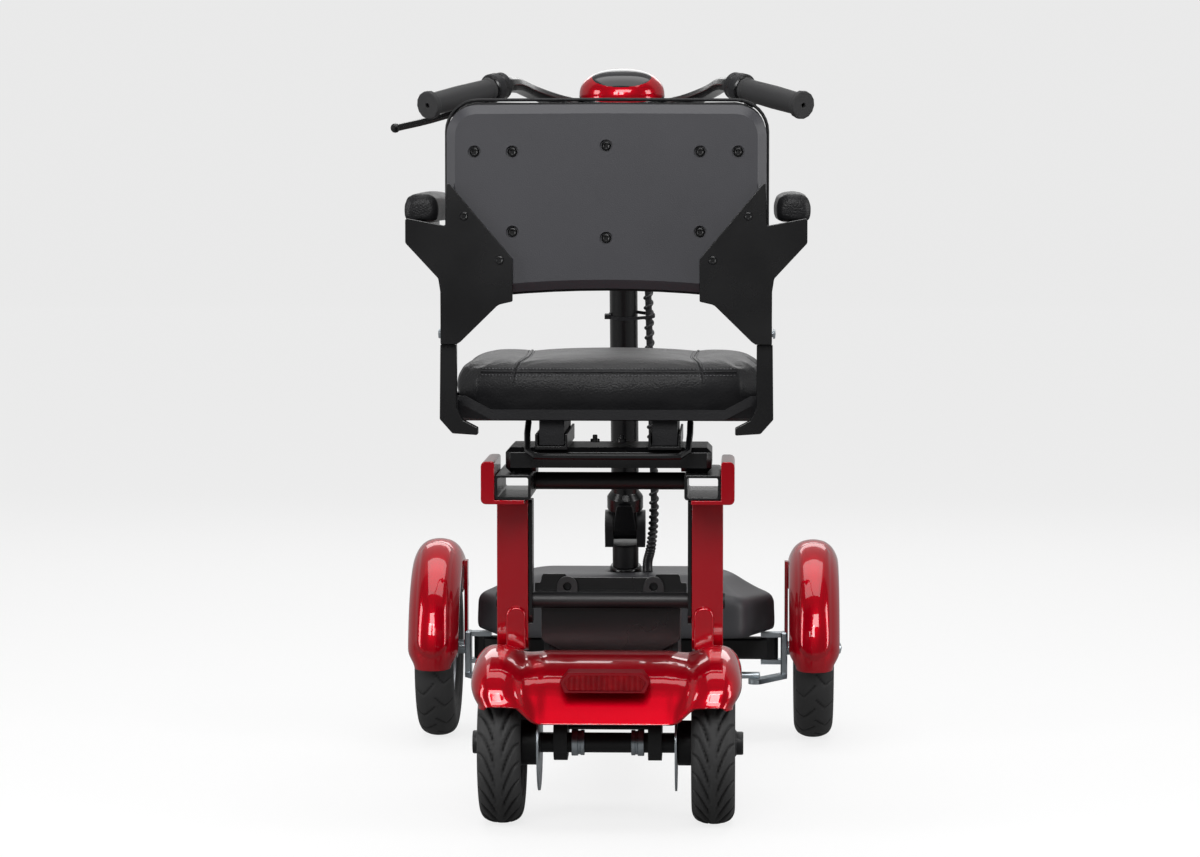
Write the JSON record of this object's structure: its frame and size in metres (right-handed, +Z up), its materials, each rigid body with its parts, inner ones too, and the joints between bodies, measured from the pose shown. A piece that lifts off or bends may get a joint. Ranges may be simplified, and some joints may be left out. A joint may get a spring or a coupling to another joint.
{
  "type": "mobility scooter",
  "caption": "Folding four-wheel mobility scooter with a padded armchair seat, a telescopic folding tiller, swept handlebar, glossy fenders and a lift-out battery.",
  "frame": {"origin": "On the floor under the middle of the scooter's bounding box.", "axes": "+Z up, +Y forwards, the way the rider faces, +X to the rider's right."},
  "size_m": [0.618, 1.0048, 0.9505],
  "materials": {
    "candy_red": "gloss",
    "gloss_black": "gloss",
    "satin_black": "satin",
    "shell_grey": "satin",
    "deck_grey": "satin",
    "leather": "satin",
    "tyre": "matte",
    "zinc": "satin",
    "rim_grey": "satin",
    "lens_red": "gloss",
    "display": "gloss",
    "loom_wrap": "satin",
    "grip_rubber": "matte",
    "black_plastic": "satin"
  },
  "bodies": {
    "chassis": {"main_frame": "satin_black", "rear_axle_beam": "zinc", "rear_cover": "candy_red", "tail_light_lens": "lens_red", "fold_pivot_tube": "satin_black", "pivot_bracket": "gloss_black", "front_axle_beam": "satin_black", "front_deck": "deck_grey", "column_collar": "gloss_black"},
    "battery": {"battery_pack": "black_plastic"},
    "tower": {"upright_l": "candy_red", "upright_r": "candy_red", "tower_plate_l": "gloss_black", "tower_plate_r": "gloss_black", "top_block_l": "candy_red", "top_block_r": "candy_red", "top_rail_l": "gloss_black", "top_rail_r": "gloss_black", "tower_cross_tube": "satin_black", "seat_base_bracket": "gloss_black"},
    "seat": {"seat_pan": "gloss_black", "seat_cushion": "leather"},
    "release": {"slide_release_bar": "zinc"},
    "backrest": {"backrest_shell": "shell_grey", "backrest_pad": "leather", "back_bracket_l": "gloss_black", "back_bracket_r": "gloss_black"},
    "armrest_l": {"armrest_beam_l": "gloss_black", "armrest_pad_l": "leather"},
    "armrest_r": {"armrest_beam_r": "gloss_black", "armrest_pad_r": "leather"},
    "steering": {"steering_stem": "satin_black"},
    "tiller": {"tiller_lower_tube": "gloss_black", "control_loom": "loom_wrap"},
    "latch": {"fold_latch_lever": "gloss_black"},
    "bars": {"tiller_upper_tube": "gloss_black", "handlebar": "gloss_black", "grip_l": "grip_rubber", "brake_clamp": "gloss_black", "throttle_clamp": "gloss_black", "dash_pod": "candy_red", "dash_display": "display"},
    "throttle": {"grip_r": "grip_rubber"},
    "brake": {"brake_lever": "gloss_black"},
    "tie": {"tie_rod": "zinc"},
    "knuckle_l_body": {"knuckle_l": "zinc", "front_fender_l": "candy_red"},
    "knuckle_r_body": {"knuckle_r": "zinc", "front_fender_r": "candy_red"},
    "front_wheel_l": {"front_tyre_l": "tyre", "front_rim_l": "rim_grey"},
    "front_wheel_r": {"front_tyre_r": "tyre", "front_rim_r": "rim_grey"},
    "rear_wheel_l": {"rear_tyre_l": "tyre", "rear_hub_l": "satin_black", "brake_disc_l": "zinc"},
    "rear_wheel_r": {"rear_tyre_r": "tyre", "rear_hub_r": "satin_black", "brake_disc_r": "zinc"}
  },
  "joints": [
    {"name": "battery_lift", "type": "slide", "parent": "chassis", "child": "battery", "axis": [0, 0, -1], "range_m": [-0.15, 0]},
    {"name": "tower_fold", "type": "hinge", "parent": "chassis", "child": "tower", "pos_m": [0, -0.29162, 0.268], "axis": [-1, 0, 0], "range_deg": [0, 50], "deforming": ["control_loom"]},
    {"name": "seat_slide", "type": "slide", "parent": "tower", "child": "seat", "axis": [0, 1, 0], "range_m": [-0.06, 0]},
    {"name": "release_lift", "type": "hinge", "parent": "seat", "child": "release", "pos_m": [0, -0.33162, 0.4957], "axis": [1, 0, 0], "range_deg": [-8, 0], "stiffness_Nm_per_rad": 0.8, "springref_deg": 2.86},
    {"name": "backrest_fold", "type": "hinge", "parent": "seat", "child": "backrest", "pos_m": [0, -0.43162, 0.61], "axis": [-1, 0, 0], "range_deg": [0, 90]},
    {"name": "armrest_lift_l", "type": "hinge", "parent": "backrest", "child": "armrest_l", "pos_m": [-0.2362, -0.43762, 0.735], "axis": [-1, 0, 0], "range_deg": [-90, 0]},
    {"name": "armrest_lift_r", "type": "hinge", "parent": "backrest", "child": "armrest_r", "pos_m": [0.2362, -0.43762, 0.735], "axis": [-1, 0, 0], "range_deg": [-90, 0]},
    {"name": "steer", "type": "hinge", "parent": "chassis", "child": "steering", "pos_m": [0, 0.35338, 0.23], "axis": [0, -0.2588, 0.9659], "range_deg": [-20, 20], "deforming": ["control_loom"]},
    {"name": "tiller_fold", "type": "hinge", "parent": "steering", "child": "tiller", "pos_m": [0, 0.33301, 0.30602], "axis": [1, 0, 0], "range_deg": [0, 25], "deforming": ["control_loom"]},
    {"name": "latch_pull", "type": "hinge", "parent": "tiller", "child": "latch", "pos_m": [0, 0.29774, 0.33798], "axis": [1, 0, 0], "range_deg": [-25, 0], "stiffness_Nm_per_rad": 0.5, "springref_deg": 5.73},
    {"name": "tiller_telescope", "type": "slide", "parent": "tiller", "child": "bars", "axis": [0, -0.2588, 0.9659], "range_m": [-0.06, 0], "deforming": ["control_loom"]},
    {"name": "throttle_twist", "type": "hinge", "parent": "bars", "child": "throttle", "pos_m": [0.169, -0.02162, 0.916], "axis": [0.5901, -0.7868, -0.181], "range_deg": [0, 35], "stiffness_Nm_per_rad": 0.4},
    {"name": "brake_pull", "type": "hinge", "parent": "bars", "child": "brake", "pos_m": [-0.17805, -0.00929, 0.90223], "axis": [-0.6368, 0.3158, 0.7034], "range_deg": [0, 12], "stiffness_Nm_per_rad": 2},
    {"name": "tie_rod_shift", "type": "slide", "parent": "chassis", "child": "tie", "axis": [1, 0, 0], "range_m": [-0.024, 0.024]},
    {"name": "swivel_l", "type": "hinge", "parent": "chassis", "child": "knuckle_l_body", "pos_m": [-0.205, 0.36838, 0.127], "axis": [0, 0, 1], "range_deg": [-20, 20]},
    {"name": "front_spin_l", "type": "hinge", "parent": "knuckle_l_body", "child": "front_wheel_l", "pos_m": [-0.268, 0.36838, 0.127], "axis": [1, 0, 0], "continuous": true},
    {"name": "rear_spin_l", "type": "hinge", "parent": "chassis", "child": "rear_wheel_l", "pos_m": [-0.131, -0.38162, 0.1], "axis": [1, 0, 0], "continuous": true},
    {"name": "swivel_r", "type": "hinge", "parent": "chassis", "child": "knuckle_r_body", "pos_m": [0.205, 0.36838, 0.127], "axis": [0, 0, 1], "range_deg": [-20, 20]},
    {"name": "front_spin_r", "type": "hinge", "parent": "knuckle_r_body", "child": "front_wheel_r", "pos_m": [0.268, 0.36838, 0.127], "axis": [1, 0, 0], "continuous": true},
    {"name": "rear_spin_r", "type": "hinge", "parent": "chassis", "child": "rear_wheel_r", "pos_m": [0.131, -0.38162, 0.1], "axis": [1, 0, 0], "continuous": true}
  ],
  "couplings": [
    {"joint": "backrest_fold", "follows": "tower_fold", "ratio": 1.8},
    {"joint": "tiller_fold", "follows": "tower_fold", "ratio": 0.5},
    {"joint": "swivel_l", "follows": "steer", "ratio": 1},
    {"joint": "swivel_r", "follows": "steer", "ratio": 1},
    {"joint": "tie_rod_shift", "follows": "steer", "m_per_rad": 0.0675}
  ]
}
